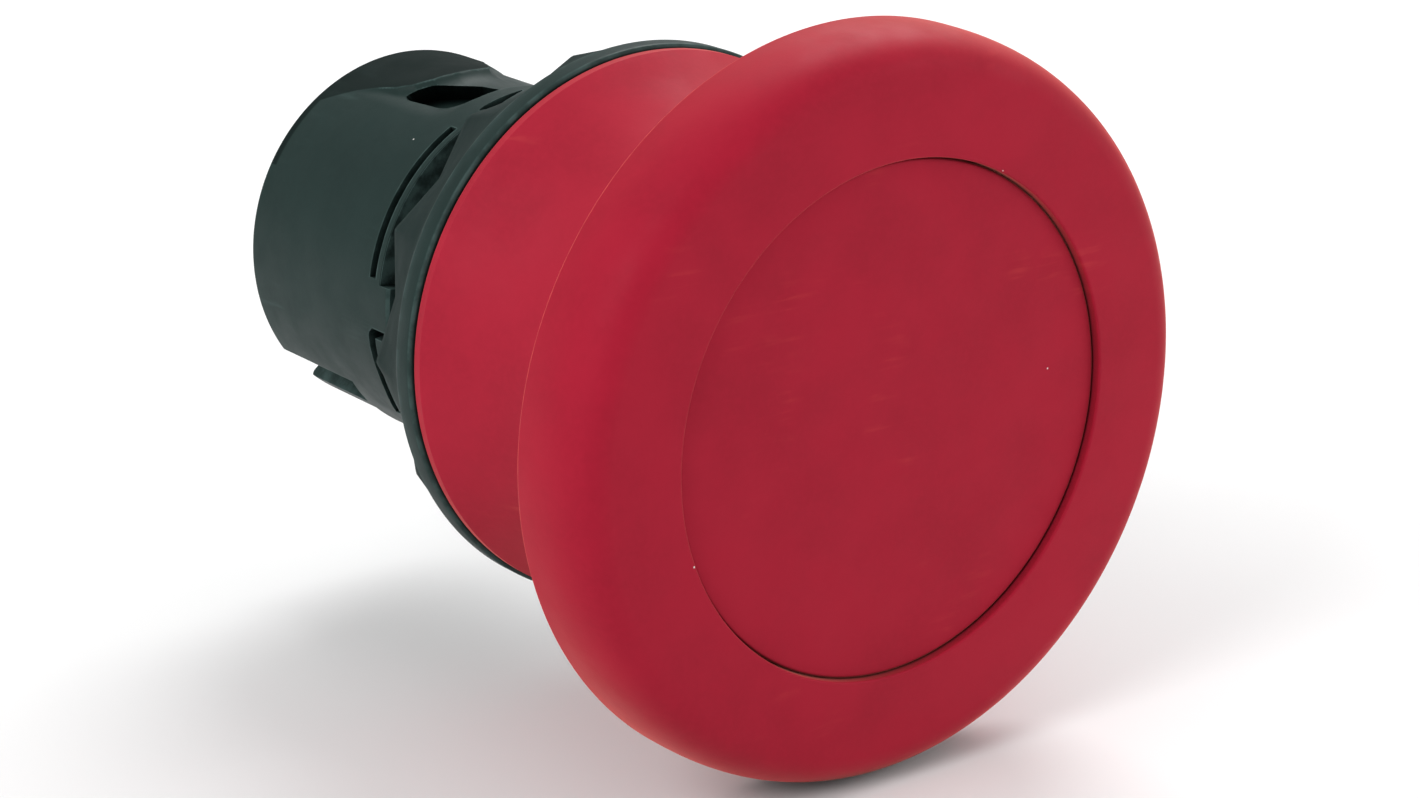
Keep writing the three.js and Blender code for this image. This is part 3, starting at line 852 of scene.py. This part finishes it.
def barrel():
    """The barrel: a neck through the panel and the slotted body behind, as one closed wall."""
    segments, step = 720, 0.1
    rows = int(round((BARREL_END - BARREL_FRONT) / step))
    depths = np.linspace(BARREL_FRONT, BARREL_END, rows + 1)
    angles = np.arange(segments) * 2 * math.pi / segments
    degrees = (np.degrees(angles) + 180) % 360 - 180
    grid_angle, grid_depth = np.meshgrid(degrees, depths)
    outer = BARREL_RADIUS - barrel_relief(grid_angle, grid_depth)
    inside = barrel_inside()
    verts = []
    for row, depth in enumerate(depths):
        for k, angle in enumerate(angles):
            verts.append(ring_point(outer[row, k], depth, angle))
    for radius, depth in inside:
        for angle in angles:
            verts.append(ring_point(radius, depth, angle))
    faces = bands(len(depths) + len(inside), segments, closed=True)
    body = as_object("barrel_shell", verts, faces, math.radians(50))
    cut(body, barrel_cuts())
    # Rougher and painted darker on the top, and painted shade on the neck and low front edges.
    roughen_and_paint_shade(body, barrel_rough_painted_shade)
    return body


def gasket():
    """The flat seal in the bezel's rear groove."""
    return washer("panel_gasket_part", 11.5, 12.5, 26.1, PANEL - 0.03, 0.2, 160)


def lip_seal():
    """The ring in the barrel's mouth, with a thin lip round the stem."""
    return turned("mouth_seal_part", [
        (4.75, 24.4, 0.05), (5.1, 24.4, 0.1), (5.8, 25.4, 0.3), (6.6, 25.4, 0.2), (6.6, 24.3, 0.15),
        (8.1, 24.3, 0.15), (8.1, 26.3, 0.15), (5.6, 26.3, 0.3),
    ], 120)


def latch_sleeve():
    """The sleeve whose bore widens to the rear, round the latch pins."""
    return turned("latch_sleeve_part", [
        (4.9, 26.6, 0.15), (8.1, 26.6, 0.2), (8.1, 38.7, 0.2), (7.52, 38.7, 0.1), (7.52, 36.6, 0.2),
        (5.88, 28.4, 0.2), (4.9, 28.0, 0.1),
    ], 120)


def helix_points(radius, start, end, turns, per_turn, flat):
    """Points of a coil along the axis, with flat turns that don't climb at each end."""
    count = int(turns * per_turn)
    points = []
    for k in range(count + 1):
        t = k / count
        climb = np.clip((t * turns - flat) / (turns - 2 * flat), 0, 1)
        depth = start + (end - start) * climb
        points.append(ring_point(radius, depth, 2 * math.pi * turns * t))
    return points


def return_spring():
    """The compression spring, with flat end turns."""
    radius, wire, front = 7.8, 0.55, 10.5
    rear = low("spring_seat").y - FACE_Y - 0.9
    path = helix_points(radius, front, rear, turns=6.0, per_turn=44, flat=0.75)
    return swept("return_spring_part", path, wire)


# ------------------------------------------------------------------- assembly

stands_for(mushroom(), "mushroom_cap", "head", RED)
stands_for(face_inlay(), "face_disc", "head", RED)
stands_for(head_screw(), "head_screw", "head", STEEL)
stands_for(lock_washer(), "lock_washer", "head", STEEL)
stands_for(plunger_stem(), "plunger_stem", "head", GREY)
stands_for(washer("stem_o_ring_part", 3.2, 4.1, 10.6, 11.4, 0.4), "stem_o_ring", "head", RUBBER)
stands_for(pusher_foot(), "pusher_foot", "head", GREY)
clip = split_ring("foot_clip_part", 2.0, 4.15, 42.72, 43.38, 60, 90, ears=0.15)
stands_for(clip, "foot_clip", "head", STEEL)
for place, side in (("left", -1), ("right", 1)):
    stands_for(latch_pin(f"latch_pin_{place}_part", side), f"latch_pin_{place}", f"latch_{place}", STEEL)
    stands_for(latch_spring(f"latch_spring_{place}_part", side), f"latch_spring_{place}", "head", WIRE)

stands_for(skirt(), "skirt_collar", "housing", LIT_SKIRT_RED)
stands_for(bezel(), "bezel_flange", "housing", BLACK)
stands_for(gasket(), "panel_gasket", "housing", RUBBER)
stands_for(barrel(), "barrel_body", "housing", BLACK)
stands_for(washer("spring_seat_part", 6.3, 9.0, 22.1, 22.5), "spring_seat", "housing", STEEL)
stands_for(washer("seal_retainer_part", 6.2, 8.1, 23.0, 24.0, 0.12), "seal_retainer", "housing", BRASS)
stands_for(lip_seal(), "mouth_seal", "housing", RUBBER)
stands_for(latch_sleeve(), "latch_sleeve", "housing", GREY)
stands_for(washer("rear_guide_part", 6.2, 8.6, 39.3, 41.1, 0.15, 144), "rear_guide", "housing", GREY)
snap_ring = split_ring("retaining_ring_part", 7.9, 9.15, 41.6, 42.6, 50, 180)
stands_for(snap_ring, "retaining_ring", "housing", WIRE)

spring = return_spring()
stands_for(spring, "return_spring", "housing", WIRE)
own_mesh(spring)


# ---------------------------------------------------------------------- stage

def studio_floor():
    """A pale floor that curves up into a backdrop."""
    ground = -HEAD_RADIUS * MM
    width, front, back, height, bend = 3.0, -1.6, 1.6, 1.4, 0.5
    profile = [(front, ground)]
    for k in range(17):
        turn = math.pi / 2 * k / 16
        profile.append((back - bend + bend * math.sin(turn), ground + bend - bend * math.cos(turn)))
    profile.append((back, ground + height))
    verts, faces = [], []
    for y, z in profile:
        verts += [(-width, y, z), (width, y, z)]
    for k in range(len(profile) - 1):
        faces.append((2 * k, 2 * k + 1, 2 * k + 3, 2 * k + 2))
    floor = as_object("studio_floor", verts, faces, math.pi)
    n = Nodes("pale_floor")
    mottle = n.mix(n.noise(60.0, 2.0), (0.80, 0.80, 0.80), (0.84, 0.84, 0.84))
    n.link(mottle, n.surface.inputs["Base Color"])
    n.surface.inputs["Roughness"].default_value = 0.9
    floor.data.materials.append(n.material)


def area_light(name, place, size, power):
    """A round soft light that points at the origin, in metres and watts."""
    data = bpy.data.lights.new(name, "AREA")
    data.shape = "DISK"
    data.size = size
    data.energy = power
    light = bpy.data.objects.new(name, data)
    light.location = place
    light.rotation_euler = (-Vector(place)).to_track_quat("-Z", "Y").to_euler()
    bpy.context.scene.collection.objects.link(light)


def camera():
    """The camera, aimed with no roll, given by its azimuth, elevation and place."""
    azimuth, elevation = math.radians(-37.06), math.radians(18.49)
    right = Vector((math.cos(azimuth), math.sin(azimuth), 0))
    back = Vector((math.sin(azimuth) * math.cos(elevation), -math.cos(azimuth) * math.cos(elevation),
                   math.sin(elevation)))
    turn = Matrix((right, back.cross(right), back)).transposed().to_4x4()
    data = bpy.data.cameras.new("camera")
    data.sensor_width = 36
    data.lens = 89.32
    data.clip_start = 0.005
    data.clip_end = 20
    thing = bpy.data.objects.new("camera", data)
    thing.matrix_world = Matrix.Translation((-0.10925, -0.15601, 0.05770)) @ turn
    bpy.context.scene.collection.objects.link(thing)
    bpy.context.scene.camera = thing


def surroundings():
    """A white surround, brighter above than at the horizon."""
    world = bpy.data.worlds.new("studio")
    world.use_nodes = True
    tree = world.node_tree
    place = tree.nodes.new("ShaderNodeTexCoord")
    split = tree.nodes.new("ShaderNodeSeparateXYZ")
    tree.links.new(place.outputs["Generated"], split.inputs[0])
    climb = tree.nodes.new("ShaderNodeMapRange")
    for socket, number in zip(climb.inputs[1:5], (0.1, 0.7, 0.33, 0.72)):
        socket.default_value = number
    tree.links.new(split.outputs["Z"], climb.inputs[0])
    tree.links.new(climb.outputs[0], tree.nodes["Background"].inputs["Strength"])
    tree.nodes["Background"].inputs["Color"].default_value = (1, 1, 1, 1)
    bpy.context.scene.world = world
    bpy.context.scene.view_settings.view_transform = "Standard"


studio_floor()
area_light("rear_softbox", (0.42, 0.33, 0.5), 0.4, 3.0)
area_light("right_softbox", (0.5, -0.4, 0.2), 0.35, 1.3)
area_light("left_softbox", (-0.52, -0.08, 0.38), 0.4, 2.3)
surroundings()
camera()
